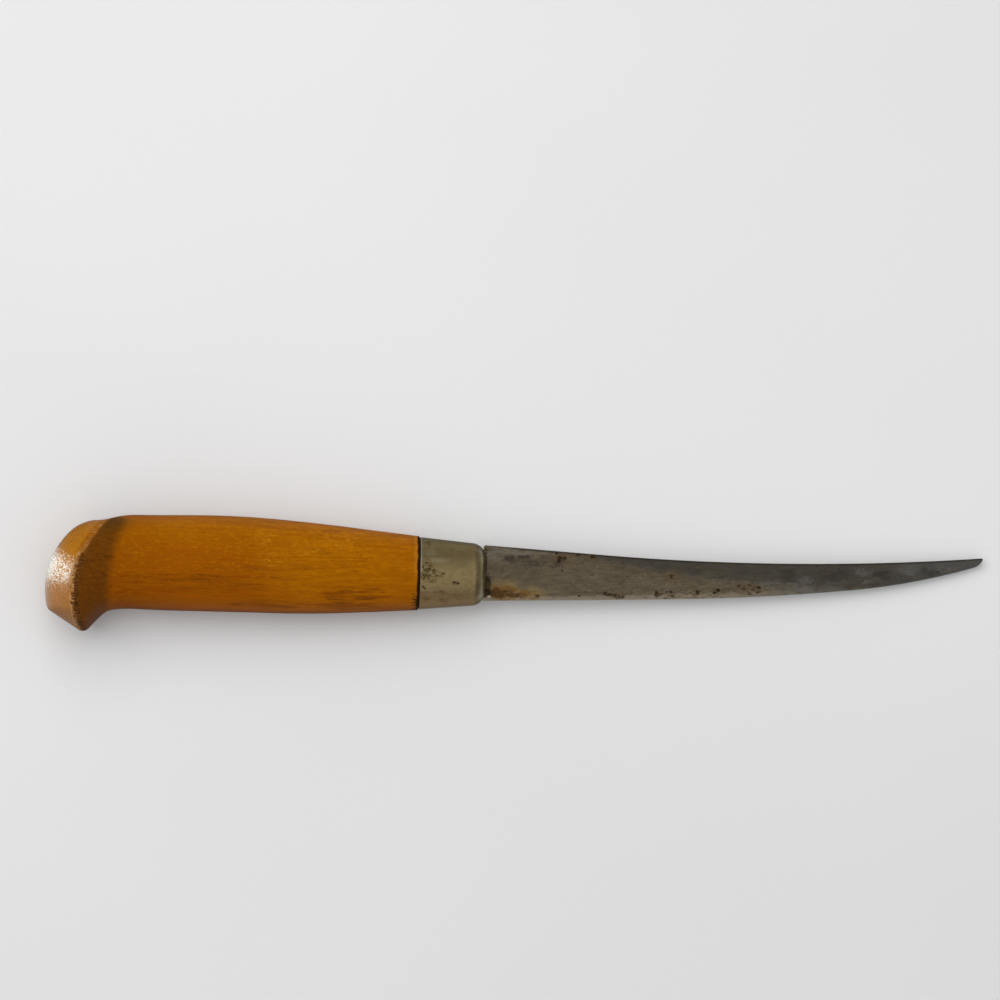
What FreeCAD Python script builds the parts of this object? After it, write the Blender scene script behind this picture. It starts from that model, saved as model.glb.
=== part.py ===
import FreeCAD, Part
import math
import os
import Sketcher

# Fixed-blade fillet knife: stamped and ground steel blade on a stick tang, drawn metal ferrule,
# turned-and-sanded birch handle with a coved neck, domed butt and hooked beak.
# Knife frame, millimetres: X = 0 at the blade's heel, which seats on the inside of the ferrule's front
# wall, and runs to the tip, Y runs to the spine, Z is the thickness and Z = 0 the plane of symmetry.
# At the end the knife is laid on its side.

doc = FreeCAD.newDocument("FilletKnife")
sheet = doc.addObject("Spreadsheet::Sheet", "Sizes")

SIZES = [
    # Blade blank
    ("blade_length", 153.65),
    ("blank_thickness", 1.9),
    ("heel_spine", 9.12),
    ("heel_edge", 8.03),
    ("heel_corner_radius", 0.7),
    ("spine_straight", 36.5),
    ("spine_drop", 2.17),
    ("tip_rise", 8.75),
    ("tip_round", 0.35),
    # Runs and lifts of the edge from heel to tip, stretched together to the blade's length and depth
    ("straight_run", 56.0),
    ("straight_lift", 1.834),
    ("sweep_run", 57.1),
    ("sweep_lift", 4.177),
    ("upturn_run", 37.2),
    ("upturn_lift", 7.787),
    ("nose_run", 3.05),
    ("nose_lift", 2.982),
    # Grind
    ("bevel_shoulder", 0.6),
    ("bevel_height", 1.5),
    ("edge_flat", 0.16),
    # Heel dressed thinner where the ferrule takes it
    ("heel_relief", 0.06),
    # Tang
    ("tang_length", 78.0),
    ("tang_root_height", 9.0),
    ("tang_end_height", 5.0),
    # Ferrule
    ("ferrule_length", 20.3),
    ("ferrule_rear_height", 22.16),
    ("ferrule_rear_width", 16.8),
    ("ferrule_front_height", 18.44),
    ("ferrule_front_width", 13.6),
    ("ferrule_front_radius", 4.6),
    ("ferrule_wall", 0.8),
    ("slot_clearance", 0.12),
    # Handle fit
    ("tenon_clearance", 0.1),
    ("shoulder_gap", 0.12),
    ("shoulder_step", 0.25),
    ("tenon_setback", 1.4),
    ("mortise_clearance", 1.0),
    ("cement_shrinkage", 0.05),
    # Handle and butt
    ("handle_length", 114.8),
    ("edge_fullness", 0.88),
    ("dome_radius", 24.9),
    ("dome_cross_radius", 13.4),
    ("dome_sweep_down", 60.0),
    ("crown_radius", 13.0),
    ("crown_turn", 44.6),
    ("crown_lip", 0.04),
    ("beak_drop", 21.0),
    ("beak_from_end", 12.35),
    ("chamfer_slope", 32.5),
    ("chamfer_cross_radius", 19.0),
    ("corner_radius", 2.6),
    ("ridge_radius", 2.4),
    ("shoulder_round", 0.7),
]

# Handle sections from the shoulder back: distance of the section, top, bottom and half thickness.
# The first three distances count back from the shoulder, the rest forward from the butt's end.
GRIP = [
    ("front_swell", 17.7, 13.15, 12.50, 9.00),
    ("belly", 40.0, 15.20, 13.35, 9.60),
    ("palm", 64.0, 16.20, 13.32, 9.70),
]
BUTT = [
    ("waist", 31.0, 15.85, 13.20, 9.30),
    ("neck", 22.5, 15.30, 13.30, 9.30),
    ("cove", 19.3, 14.50, 14.00, 9.65),
    ("hollow", 16.6, 13.98, 16.20, 10.30),
    ("flare", 13.6, 14.00, 19.45, 11.25),
    ("rim", 9.4, 14.20, 24.00, 12.75),
    ("past_end", -1.5, 15.00, 33.00, 16.00),
]

row = 1


def put(name, value):
    global row
    sheet.set("A%d" % row, name)
    sheet.set("B%d" % row, str(value))
    sheet.setAlias("B%d" % row, name)
    row += 1


for name, value in SIZES:
    put(name, value)
for name, x, top, bottom, half in GRIP + BUTT:
    put(name + "_at", x)
    put(name + "_top", top)
    put(name + "_bottom", bottom)
    put(name + "_half", half)
doc.recompute()


def size(name):
    return float(sheet.get(name))


def plane(body, role):
    for feature in body.Origin.OriginFeatures:
        if feature.Role == role:
            return feature
    raise RuntimeError("no plane " + role)


def new_body(name):
    body = doc.addObject("PartDesign::Body", name)
    body.Label = name
    return body


def new_sketch(body, name, role, offset=None):
    sketch = body.newObject("Sketcher::SketchObject", name)
    sketch.AttachmentSupport = [(plane(body, role), "")]
    sketch.MapMode = "FlatFace"
    if offset:
        sketch.setExpression("AttachmentOffset.Base.z", offset)
    return sketch


def bind(sketch, name, expression):
    sketch.setExpression("Constraints." + name, expression)


def value(expression):
    # Number an expression gives now, for the first position of sketch geometry.
    sheet.set("D1", "=" + expression.replace("Sizes.", ""))
    sheet.recompute()
    number = float(sheet.get("D1"))
    sheet.clear("D1")
    return number


def dimension(sketch, kind, elements, name, expression):
    # Named driving dimension of a sketch, bound to the sheet.
    number = value(expression)
    index = sketch.addConstraint(Sketcher.Constraint(kind, *elements, number))
    sketch.renameConstraint(index, name)
    bind(sketch, name, expression)


def line(sketch, a, b, construction=False):
    edge = Part.LineSegment(FreeCAD.Vector(a[0], a[1], 0), FreeCAD.Vector(b[0], b[1], 0))
    return sketch.addGeometry(edge, construction)


def arc(sketch, centre, radius, start, end):
    circle = Part.Circle(FreeCAD.Vector(centre[0], centre[1], 0), FreeCAD.Vector(0, 0, 1), radius)
    return sketch.addGeometry(Part.ArcOfCircle(circle, start, end), False)


def polygon(sketch, points):
    # Closed chain of lines with every corner placed by two dimensions: (x expression, y expression).
    corners = [(value(x), value(y)) for x, y in points]
    lines = []
    for i, corner in enumerate(corners):
        lines.append(line(sketch, corner, corners[(i + 1) % len(corners)]))
    for i in range(len(lines)):
        sketch.addConstraint(Sketcher.Constraint("Coincident", lines[i - 1], 2, lines[i], 1))
    for i, (x, y) in enumerate(points):
        dimension(sketch, "DistanceX", (-1, 1, lines[i], 1), "x%d" % i, x)
        dimension(sketch, "DistanceY", (-1, 1, lines[i], 1), "y%d" % i, y)
    return lines


def oval(body, name, at, top, bottom, half):
    # Four-arc oval across the knife: two edge arcs and two flatter side arcs, tangent at the joins.
    sketch = new_sketch(body, name, "YZ_Plane", at)
    t = value(top)
    b = value(bottom)
    w = value(half)
    r = size("edge_fullness") * w
    middle = (t + b) / 2
    reach = (t - b) / 2 - r
    side = (reach ** 2 + w ** 2 - r ** 2) / (2 * (w - r))
    lean = math.atan2(reach, side - w)
    turn = math.pi / 2 - lean
    upper = arc(sketch, (t - r, 0), r, -turn, turn)
    front = arc(sketch, (middle, w - side), side, turn, math.pi - turn)
    lower = arc(sketch, (b + r, 0), r, math.pi - turn, math.pi + turn)
    back = arc(sketch, (middle, side - w), side, math.pi + turn, 2 * math.pi - turn)
    ring = [upper, front, lower, back]
    for i in range(4):
        sketch.addConstraint(Sketcher.Constraint("Tangent", ring[i - 1], 2, ring[i], 1))
    sketch.addConstraint(Sketcher.Constraint("PointOnObject", upper, 3, -1))
    sketch.addConstraint(Sketcher.Constraint("PointOnObject", lower, 3, -1))
    sketch.addConstraint(Sketcher.Constraint("Equal", upper, lower))
    sketch.addConstraint(Sketcher.Constraint("Equal", front, back))
    apex = sketch.addGeometry(Part.Point(FreeCAD.Vector(middle, w, 0)), True)
    sketch.addConstraint(Sketcher.Constraint("PointOnObject", apex, 1, front))
    radius = "Sizes.edge_fullness * (%s)" % half
    dimension(sketch, "Radius", (upper,), "edge", radius)
    dimension(sketch, "DistanceX", (-1, 1, upper, 3), "top", "(%s) - %s" % (top, radius))
    dimension(sketch, "DistanceX", (lower, 3, -1, 1), "bottom", "-(%s) - %s" % (bottom, radius))
    dimension(sketch, "DistanceX", (-1, 1, apex, 1), "middle", "((%s) + (%s)) / 2" % (top, bottom))
    dimension(sketch, "DistanceY", (-1, 1, apex, 1), "half", half)
    return sketch


def loft(body, name, sections):
    feature = body.newObject("PartDesign::AdditiveLoft", name)
    feature.Profile = sections[0]
    feature.Sections = sections[1:]
    doc.recompute()
    return feature


def edges_where(shape, test):
    return ["Edge%d" % (i + 1) for i, edge in enumerate(shape.Edges) if test(edge)]


def touches(edge, x, y):
    # True for an edge that runs through the thickness at this point of the outline.
    return all(math.hypot(v.X - x, v.Y - y) < 0.001 for v in edge.Vertexes)


def flat_at(shape, x):
    # True for an edge or face that lies in the plane across the knife at x.
    return abs(shape.BoundBox.XMin - x) < 0.001 and abs(shape.BoundBox.XMax - x) < 0.001


def side_edge(shape, edge):
    # True for an edge of a face that runs the whole length of the grip.
    long_faces = [f for f in shape.Faces if f.BoundBox.XLength > size("handle_length") / 2]
    return any(edge.isSame(other) for face in long_faces for other in face.Edges)


def on_rim(shape, edge):
    # True for an edge where the grip's sides meet the cuts at the butt.
    neck = size("neck_at") + value(end_at)
    return edge.BoundBox.XMax < neck and side_edge(shape, edge)


def between_cuts(shape, edge):
    # True for the edge at the butt where the dome meets the chamfer.
    neck = size("neck_at") + value(end_at)
    return edge.BoundBox.XMax < neck and not side_edge(shape, edge)


def rectangle(sketch, half_height, half_width):
    low = "-(%s)" % half_height
    near = "-(%s)" % half_width
    polygon(sketch, [(low, near), (half_height, near), (half_height, half_width), (low, half_width)])


def arch(sketch, centre, radius, way):
    # Closed cutter section: everything beyond an arc that bulges along x the given way (1 or -1).
    c = value(centre)
    r = value(radius)
    half = 0.96 * r
    x1 = c + way * math.sqrt(r * r - half * half)
    turn = math.asin(0.96)
    middle = 0 if way > 0 else math.pi
    crown = arc(sketch, (c, 0), r, middle - turn, middle + turn)
    first, last = (2, 1) if way > 0 else (1, 2)
    far = c + way * 3 * r
    corners = [(x1, half), (x1, 2 * r), (far, 2 * r), (far, -2 * r), (x1, -2 * r), (x1, -half)]
    sides = [line(sketch, a, b) for a, b in zip(corners[:-1], corners[1:])]
    sketch.addConstraint(Sketcher.Constraint("Coincident", crown, first, sides[0], 1))
    for near, beyond in zip(sides[:-1], sides[1:]):
        sketch.addConstraint(Sketcher.Constraint("Coincident", near, 2, beyond, 1))
    sketch.addConstraint(Sketcher.Constraint("Coincident", sides[-1], 2, crown, last))
    for i, direction in enumerate(("Vertical", "Horizontal", "Vertical", "Horizontal", "Vertical")):
        sketch.addConstraint(Sketcher.Constraint(direction, sides[i]))
    sketch.addConstraint(Sketcher.Constraint("PointOnObject", crown, 3, -1))
    dimension(sketch, "DistanceX", (-1, 1, crown, 3), "centre", centre)
    dimension(sketch, "Radius", (crown,), "radius", radius)
    dimension(sketch, "DistanceY", (-1, 1, crown, first), "crown_up", "0.96 * (%s)" % radius)
    dimension(sketch, "DistanceY", (crown, last, -1, 1), "crown_down", "0.96 * (%s)" % radius)
    dimension(sketch, "DistanceY", (-1, 1, sides[2], 1), "frame_up", "2 * (%s)" % radius)
    dimension(sketch, "DistanceY", (sides[2], 2, -1, 1), "frame_down", "2 * (%s)" % radius)
    out = (crown, 3, sides[2], 1) if way > 0 else (sides[2], 1, crown, 3)
    dimension(sketch, "DistanceX", out, "frame_out", "3 * (%s)" % radius)


# Where the ferrule's front face, the handle's shoulder and the butt's end lie along the knife.
front_at = "Sizes.ferrule_wall"
shoulder_at = front_at + " - Sizes.ferrule_length - Sizes.shoulder_gap"
end_at = front_at + " - Sizes.ferrule_length - Sizes.handle_length"


# Shared lines of the ferrule: outer oval at a distance behind the front face, in expressions.
def ferrule_half(kind, behind, inset):
    front = "Sizes.ferrule_front_%s" % kind
    rear = "Sizes.ferrule_rear_%s" % kind
    taper = "(%s - %s) / Sizes.ferrule_length" % (rear, front)
    return "(%s + %s * (%s)) / 2 - (%s)" % (front, taper, behind, inset)


def ferrule_oval(body, name, behind, inset):
    tall = ferrule_half("height", behind, inset)
    wide = ferrule_half("width", behind, inset)
    return oval(body, name, "%s - (%s)" % (front_at, behind), tall, "-(%s)" % tall, wide)


# Blade: blank with tang, then both sides ground from the edge up.
blade = new_body("blade")
outline = new_sketch(blade, "BladeOutline", "XY_Plane")
heel_top = (0, size("heel_spine"))
slope = math.atan2(size("spine_drop"), size("spine_straight"))
spine_end = (size("spine_straight"), heel_top[1] - size("spine_drop"))
tip = (size("blade_length"), size("tip_rise"))


def tangent_arc(start, heading, end):
    # Centre, radius and angles of the arc that leaves start along heading and reaches end.
    chord = math.hypot(end[0] - start[0], end[1] - start[1])
    bend = math.atan2(end[1] - start[1], end[0] - start[0]) - heading
    radius = chord / (2 * math.sin(bend))
    centre = (start[0] - radius * math.sin(heading), start[1] + radius * math.cos(heading))
    return centre, radius, heading - math.pi / 2, heading + 2 * bend - math.pi / 2


EDGE = ["straight", "sweep", "upturn", "nose"]


def stretched(kind, names, whole):
    # Sum of these runs or lifts of the edge, in proportion to the blade's length or depth.
    part = " + ".join("Sizes.%s_%s" % (name, kind) for name in names)
    total = " + ".join("Sizes.%s_%s" % (name, kind) for name in EDGE)
    return "(%s) * (%s) / (%s)" % (whole, part, total)


def edge_chain(sketch):
    # Straight edge, long sweep and upturn: shared by the outline and the grind's path.
    depth = "Sizes.heel_edge + Sizes.tip_rise"
    here = (0, -size("heel_edge"))
    heading = None
    parts = []
    for i, name in enumerate(EDGE[:3]):
        reach = stretched("run", EDGE[:i + 1], "Sizes.blade_length")
        lift = stretched("lift", [name], depth)
        end = (value(reach), here[1] + value(lift))
        if heading is None:
            part = line(sketch, here, end)
            heading = math.atan2(end[1] - here[1], end[0] - here[0])
        else:
            centre, radius, first, last = tangent_arc(here, heading, end)
            part = arc(sketch, centre, radius, first, last)
            heading = last + math.pi / 2
            sketch.addConstraint(Sketcher.Constraint("Tangent", parts[-1], 2, part, 1))
        dimension(sketch, "DistanceX", (-1, 1, part, 2), name + "_reach", reach)
        dimension(sketch, "DistanceY", (part, 1, part, 2), name + "_lift", lift)
        parts.append(part)
        here = end
    straight, sweep, upturn = parts
    dimension(sketch, "DistanceY", (straight, 1, -1, 1), "heel_edge", "Sizes.heel_edge")
    sketch.addConstraint(Sketcher.Constraint("PointOnObject", straight, 1, -2))
    return straight, upturn, here, heading


straight, upturn, upturn_end, upturn_heading = edge_chain(outline)
nose = arc(outline, *tangent_arc(upturn_end, upturn_heading, tip))
spine_arc = arc(outline, *tangent_arc(spine_end, -slope, tip))
spine_line = line(outline, heel_top, spine_end)
outline.addConstraint(Sketcher.Constraint("Tangent", upturn, 2, nose, 1))
outline.addConstraint(Sketcher.Constraint("Coincident", nose, 2, spine_arc, 2))
outline.addConstraint(Sketcher.Constraint("Tangent", spine_line, 2, spine_arc, 1))
dimension(outline, "DistanceX", (-1, 1, nose, 2), "tip_at", "Sizes.blade_length")
dimension(outline, "DistanceY", (-1, 1, nose, 2), "tip_rise", "Sizes.tip_rise")
outline.addConstraint(Sketcher.Constraint("PointOnObject", spine_line, 1, -2))
dimension(outline, "DistanceY", (-1, 1, spine_line, 1), "heel_spine", "Sizes.heel_spine")
dimension(outline, "DistanceX", (-1, 1, spine_line, 2), "straight_at", "Sizes.spine_straight")
dimension(outline, "DistanceY", (spine_line, 2, spine_line, 1), "spine_drop", "Sizes.spine_drop")
root = size("tang_root_height") / 2
end = size("tang_end_height") / 2
back = -size("tang_length")
upper_shoulder = line(outline, heel_top, (0, root))
tang_top = line(outline, (0, root), (back, end))
tang_end = line(outline, (back, end), (back, -end))
tang_low = line(outline, (back, -end), (0, -root))
lower_shoulder = line(outline, (0, -root), (0, -size("heel_edge")))
chain = [spine_line, upper_shoulder, tang_top, tang_end, tang_low, lower_shoulder, straight]
outline.addConstraint(Sketcher.Constraint("Coincident", spine_line, 1, upper_shoulder, 1))
for first, second in zip(chain[1:-1], chain[2:]):
    outline.addConstraint(Sketcher.Constraint("Coincident", first, 2, second, 1))
outline.addConstraint(Sketcher.Constraint("Vertical", upper_shoulder))
outline.addConstraint(Sketcher.Constraint("Vertical", lower_shoulder))
outline.addConstraint(Sketcher.Constraint("Symmetric", tang_end, 1, tang_end, 2, -1))
dimension(outline, "DistanceY", (-1, 1, tang_top, 1), "root_up", "Sizes.tang_root_height / 2")
dimension(outline, "DistanceY", (tang_low, 2, -1, 1), "root_down", "Sizes.tang_root_height / 2")
dimension(outline, "DistanceX", (tang_end, 1, -1, 1), "tang_length", "Sizes.tang_length")
dimension(outline, "DistanceY", (tang_end, 2, tang_end, 1), "tang_end", "Sizes.tang_end_height")

blank = blade.newObject("PartDesign::Pad", "Blank")
blank.Profile = outline
blank.SideType = "Symmetric"
blank.setExpression("Length", "Sizes.blank_thickness")
doc.recompute()

heel = blade.newObject("PartDesign::Fillet", "HeelCorner")
heel.Base = (blank, edges_where(blank.Shape, lambda e: touches(e, 0, size("heel_spine"))))
heel.setExpression("Radius", "Sizes.heel_corner_radius")
doc.recompute()
point = blade.newObject("PartDesign::Fillet", "TipRound")
point.Base = (heel, edges_where(heel.Shape, lambda e: touches(e, *tip)))
point.setExpression("Radius", "Sizes.tip_round")
doc.recompute()

path = new_sketch(blade, "EdgePath", "XY_Plane")
straight, upturn, upturn_end, upturn_heading = edge_chain(path)
run = 3 * size("nose_run")
beyond = (upturn_end[0] + run * math.cos(upturn_heading),
          upturn_end[1] + run * math.sin(upturn_heading))
run_out = line(path, upturn_end, beyond)
path.addConstraint(Sketcher.Constraint("Tangent", upturn, 2, run_out, 1))
dimension(path, "Distance", (run_out,), "run_out", "3 * Sizes.nose_run")

wheel = new_sketch(blade, "GrindSection", "YZ_Plane")
below = "-Sizes.heel_edge - 2 * Sizes.bevel_height"
polygon(wheel, [
    ("-Sizes.heel_edge", "Sizes.edge_flat / 2"),
    ("Sizes.bevel_height - Sizes.heel_edge", "Sizes.bevel_shoulder / 2"),
    ("Sizes.heel_spine", "Sizes.blank_thickness / 2"),
    ("Sizes.heel_spine", "Sizes.blank_thickness"),
    (below, "Sizes.blank_thickness"),
    (below, "Sizes.edge_flat / 2"),
])
doc.recompute()
grind = blade.newObject("PartDesign::SubtractivePipe", "Grind")
grind.Profile = wheel
grind.Spine = path
doc.recompute()
seat_at = front_at + " + Sizes.heel_relief"
seat_section = new_sketch(blade, "SeatSection", "YZ_Plane", seat_at)
flat_low = "Sizes.bevel_height - Sizes.heel_edge"
polygon(seat_section, [
    (flat_low, "Sizes.bevel_shoulder / 2 - Sizes.heel_relief"),
    ("Sizes.heel_spine", "Sizes.blank_thickness / 2 - Sizes.heel_relief"),
    ("Sizes.heel_spine", "Sizes.blank_thickness"),
    (flat_low, "Sizes.blank_thickness"),
])
seat = blade.newObject("PartDesign::Pocket", "HeelSeat")
seat.Profile = seat_section
seat.setExpression("Length", seat_at)
doc.recompute()
other_side = blade.newObject("PartDesign::Mirrored", "OtherSide")
other_side.Originals = [grind, seat]
other_side.MirrorPlane = (plane(blade, "XY_Plane"), [""])
blade.Tip = other_side
doc.recompute()

# Ferrule: drawn cup, rounded at the nose, open at the rear, with a slot that lets the heel in.
ferrule = new_body("ferrule")
cup = loft(ferrule, "Cup", [
    ferrule_oval(ferrule, "CupRear", "Sizes.ferrule_length", "0"),
    ferrule_oval(ferrule, "CupFront", "0", "0"),
])
bore = ferrule.newObject("PartDesign::SubtractiveLoft", "Bore")
bore.Profile = ferrule_oval(ferrule, "BoreRear", "1.05 * Sizes.ferrule_length", "Sizes.ferrule_wall")
bore.Sections = [ferrule_oval(ferrule, "BoreFront", "Sizes.ferrule_wall", "Sizes.ferrule_wall")]
doc.recompute()
inside = ferrule.newObject("PartDesign::Fillet", "InnerNose")
inside.Base = (bore, edges_where(bore.Shape, lambda e: flat_at(e, 0)))
inside.setExpression("Radius", "Sizes.ferrule_front_radius - Sizes.ferrule_wall")
doc.recompute()
nose = ferrule.newObject("PartDesign::Fillet", "Nose")
nose.Base = (inside, edges_where(inside.Shape, lambda e: flat_at(e, value(front_at))))
nose.setExpression("Radius", "Sizes.ferrule_front_radius")
doc.recompute()
slot_sketch = new_sketch(ferrule, "SlotOutline", "YZ_Plane", front_at)
slot_top = "Sizes.heel_spine + Sizes.slot_clearance"
slot_low = "-Sizes.heel_edge - Sizes.slot_clearance"
slot_side = "Sizes.blank_thickness / 2 + Sizes.slot_clearance"
polygon(slot_sketch, [
    (slot_low, "-(%s)" % slot_side),
    (slot_top, "-(%s)" % slot_side),
    (slot_top, slot_side),
    (slot_low, slot_side),
])
slot = ferrule.newObject("PartDesign::Pocket", "Slot")
slot.Profile = slot_sketch
slot.setExpression("Length", front_at + " + Sizes.slot_clearance")
doc.recompute()

# Handle: oval sections from the shoulder to past the butt, domed and chamfered at the end.
handle = new_body("handle")
sections = [oval(handle, "Shoulder", shoulder_at,
                 "Sizes.ferrule_rear_height / 2 + Sizes.shoulder_step",
                 "-Sizes.ferrule_rear_height / 2 - Sizes.shoulder_step",
                 "Sizes.ferrule_rear_width / 2 + Sizes.shoulder_step")]
for table, at in ((GRIP, shoulder_at + " - Sizes."), (BUTT, end_at + " + Sizes.")):
    for name, x, top, bottom, half in table:
        sections.append(oval(handle, name, at + name + "_at", "Sizes." + name + "_top",
                             "-Sizes." + name + "_bottom", "Sizes." + name + "_half"))
grip = doc.addObject("Part::Loft", "Grip")
grip.Sections = sections
grip.Solid = True
grip.MaxDegree = 2
doc.recompute()
handle.BaseFeature = grip
doc.recompute()

# The end is turned in two arcs that meet without a kink: the dome, and a tighter crown above it.
step = "(Sizes.dome_radius - Sizes.crown_radius)"
crown_y = "(Sizes.hollow_top + Sizes.crown_lip - Sizes.crown_radius)"
dome_x = "(%s + Sizes.dome_radius)" % end_at
dome_sketch = new_sketch(handle, "DomeSection", "XZ_Plane")
dome_sketch.setExpression("AttachmentOffset.Base.x", dome_x)
dome_sketch.setExpression("AttachmentOffset.Base.z", "%s * sin(Sizes.crown_turn) - %s" % (step, crown_y))
arch(dome_sketch, "Sizes.dome_cross_radius - Sizes.dome_radius", "Sizes.dome_cross_radius", -1)
doc.recompute()
dome = handle.newObject("PartDesign::Groove", "Dome")
dome.Profile = dome_sketch
dome.ReferenceAxis = (dome_sketch, ["V_Axis"])
dome.Type = "TwoAngles"
dome.setExpression("Angle", "Sizes.dome_sweep_down")
dome.setExpression("Angle2", "Sizes.crown_turn")
doc.recompute()

crown_x = "%s - %s * cos(Sizes.crown_turn)" % (dome_x, step)
crown_sketch = new_sketch(handle, "CrownSection", "YZ_Plane", crown_x)
crown_sketch.setExpression("AttachmentOffset.Base.x", crown_y)
arch(crown_sketch, "Sizes.crown_radius - Sizes.dome_cross_radius", "Sizes.dome_cross_radius", 1)
doc.recompute()
crown = handle.newObject("PartDesign::Groove", "Crown")
crown.Profile = crown_sketch
crown.ReferenceAxis = (crown_sketch, ["V_Axis"])
crown.setExpression("Angle", "90 - Sizes.crown_turn")
doc.recompute()

chamfer_sketch = new_sketch(handle, "ChamferSection", "YZ_Plane")
tilt = FreeCAD.Rotation(FreeCAD.Vector(0, 1, 0), -size("chamfer_slope"))
chamfer_sketch.AttachmentOffset = FreeCAD.Placement(FreeCAD.Vector(0, 0, 0), tilt)
chamfer_sketch.setExpression("AttachmentOffset.Rotation.Angle", "-Sizes.chamfer_slope")
chamfer_sketch.setExpression("AttachmentOffset.Base.x", "-Sizes.beak_drop")
chamfer_sketch.setExpression("AttachmentOffset.Base.z", end_at + " + Sizes.beak_from_end")
arch(chamfer_sketch, "Sizes.chamfer_cross_radius", "Sizes.chamfer_cross_radius", -1)
doc.recompute()
chamfer = handle.newObject("PartDesign::Pocket", "Chamfer")
chamfer.Profile = chamfer_sketch
chamfer.SideType = "Symmetric"
chamfer.setExpression("Length", "4 * Sizes.beak_drop")
doc.recompute()

corner = handle.newObject("PartDesign::Fillet", "Corner")
corner.Base = (chamfer, edges_where(chamfer.Shape, lambda e: between_cuts(chamfer.Shape, e)))
corner.setExpression("Radius", "Sizes.corner_radius")
doc.recompute()
ridge = handle.newObject("PartDesign::Fillet", "Ridge")
ridge.Base = (corner, edges_where(corner.Shape, lambda e: on_rim(corner.Shape, e)))
ridge.setExpression("Radius", "Sizes.ridge_radius")
doc.recompute()
eased = handle.newObject("PartDesign::Fillet", "ShoulderRound")
eased.Base = (ridge, edges_where(ridge.Shape, lambda e: flat_at(e, value(shoulder_at))))
eased.setExpression("Radius", "Sizes.shoulder_round")
doc.recompute()

# Tenon inside the ferrule, and the mortise that takes the tang.
tenon_front = "Sizes.ferrule_front_radius + Sizes.tenon_setback"
tenon_at = "%s - (%s)" % (front_at, tenon_front)
tenon_inset = "Sizes.ferrule_wall + Sizes.tenon_clearance"
tenon = loft(handle, "Tenon", [
    ferrule_oval(handle, "TenonRoot", "1.1 * Sizes.ferrule_length", tenon_inset),
    ferrule_oval(handle, "TenonFront", tenon_front, tenon_inset),
])
mortise_sketch = new_sketch(handle, "MortiseOutline", "YZ_Plane", tenon_at)
rectangle(mortise_sketch, "Sizes.tang_root_height / 2 + Sizes.mortise_clearance",
          "Sizes.blank_thickness / 2 + Sizes.mortise_clearance")
mortise = handle.newObject("PartDesign::Pocket", "Mortise")
mortise.Profile = mortise_sketch
mortise.setExpression("Length", "Sizes.tang_length + Sizes.mortise_clearance + %s" % tenon_at)
doc.recompute()

# Cement: a plug in the ferrule's nose and a sleeve around the tang in the mortise.
cement = new_body("tang_cement")
sleeve_at = tenon_at + " + 2 * Sizes.mortise_clearance"
sleeve_sketch = new_sketch(cement, "SleeveOutline", "YZ_Plane", sleeve_at)
sleeve_gap = "Sizes.mortise_clearance - Sizes.cement_shrinkage"
rectangle(sleeve_sketch, "Sizes.tang_root_height / 2 + " + sleeve_gap,
          "Sizes.blank_thickness / 2 + " + sleeve_gap)
sleeve = cement.newObject("PartDesign::Pad", "Sleeve")
sleeve.Profile = sleeve_sketch
sleeve.Reversed = True
sleeve.setExpression("Length", "Sizes.tang_length + %s + %s" % (sleeve_gap, sleeve_at))
doc.recompute()
plug = loft(cement, "NosePlug", [
    ferrule_oval(cement, "PlugRear", tenon_front + " - Sizes.cement_shrinkage",
                 "Sizes.ferrule_wall + Sizes.cement_shrinkage"),
    ferrule_oval(cement, "PlugFront", "Sizes.ferrule_wall + Sizes.cement_shrinkage",
                 "Sizes.ferrule_wall + Sizes.cement_shrinkage"),
])
plug_front = -size("cement_shrinkage")
plug_nose = cement.newObject("PartDesign::Fillet", "PlugNose")
plug_nose.Base = (plug, edges_where(plug.Shape, lambda e: flat_at(e, plug_front)))
plug_nose.setExpression("Radius", "Sizes.ferrule_front_radius - Sizes.ferrule_wall"
                        " - Sizes.cement_shrinkage")
doc.recompute()
tang_sketch = new_sketch(cement, "TangOutline", "XY_Plane")
polygon(tang_sketch, [
    ("0", "Sizes.tang_root_height / 2"),
    ("-Sizes.tang_length", "Sizes.tang_end_height / 2"),
    ("-Sizes.tang_length", "-Sizes.tang_end_height / 2"),
    ("0", "-Sizes.tang_root_height / 2"),
])
tang_slot = cement.newObject("PartDesign::Pocket", "TangSlot")
tang_slot.Profile = tang_sketch
tang_slot.SideType = "Symmetric"
tang_slot.setExpression("Length", "Sizes.blank_thickness")
doc.recompute()

# Lay the knife on its side: the butt's rim and the handle's shoulder both rest on the ground,
# and the origin lies on the ground under the middle of the whole knife.
bodies = [blade, ferrule, handle, cement]
rim_half = handle.Shape.optimalBoundingBox(True, False).ZMax
shoulder_half = size("ferrule_rear_width") / 2 + size("shoulder_step")
reach = size("handle_length") - size("rim_at") - size("shoulder_gap")
lean = math.degrees(math.atan2(rim_half - shoulder_half, reach))
turned = FreeCAD.Rotation(FreeCAD.Vector(0, 1, 0), lean)
boxes = []
for body in bodies:
    shape = body.Shape.copy()
    shape.Placement = FreeCAD.Placement(FreeCAD.Vector(0, 0, 0), turned)
    boxes.append(shape.optimalBoundingBox(True, False))
shift = FreeCAD.Vector(
    -(min(b.XMin for b in boxes) + max(b.XMax for b in boxes)) / 2,
    -(min(b.YMin for b in boxes) + max(b.YMax for b in boxes)) / 2,
    -min(b.ZMin for b in boxes),
)
for body in bodies:
    body.Placement = FreeCAD.Placement(shift, turned)
doc.recompute()

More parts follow.
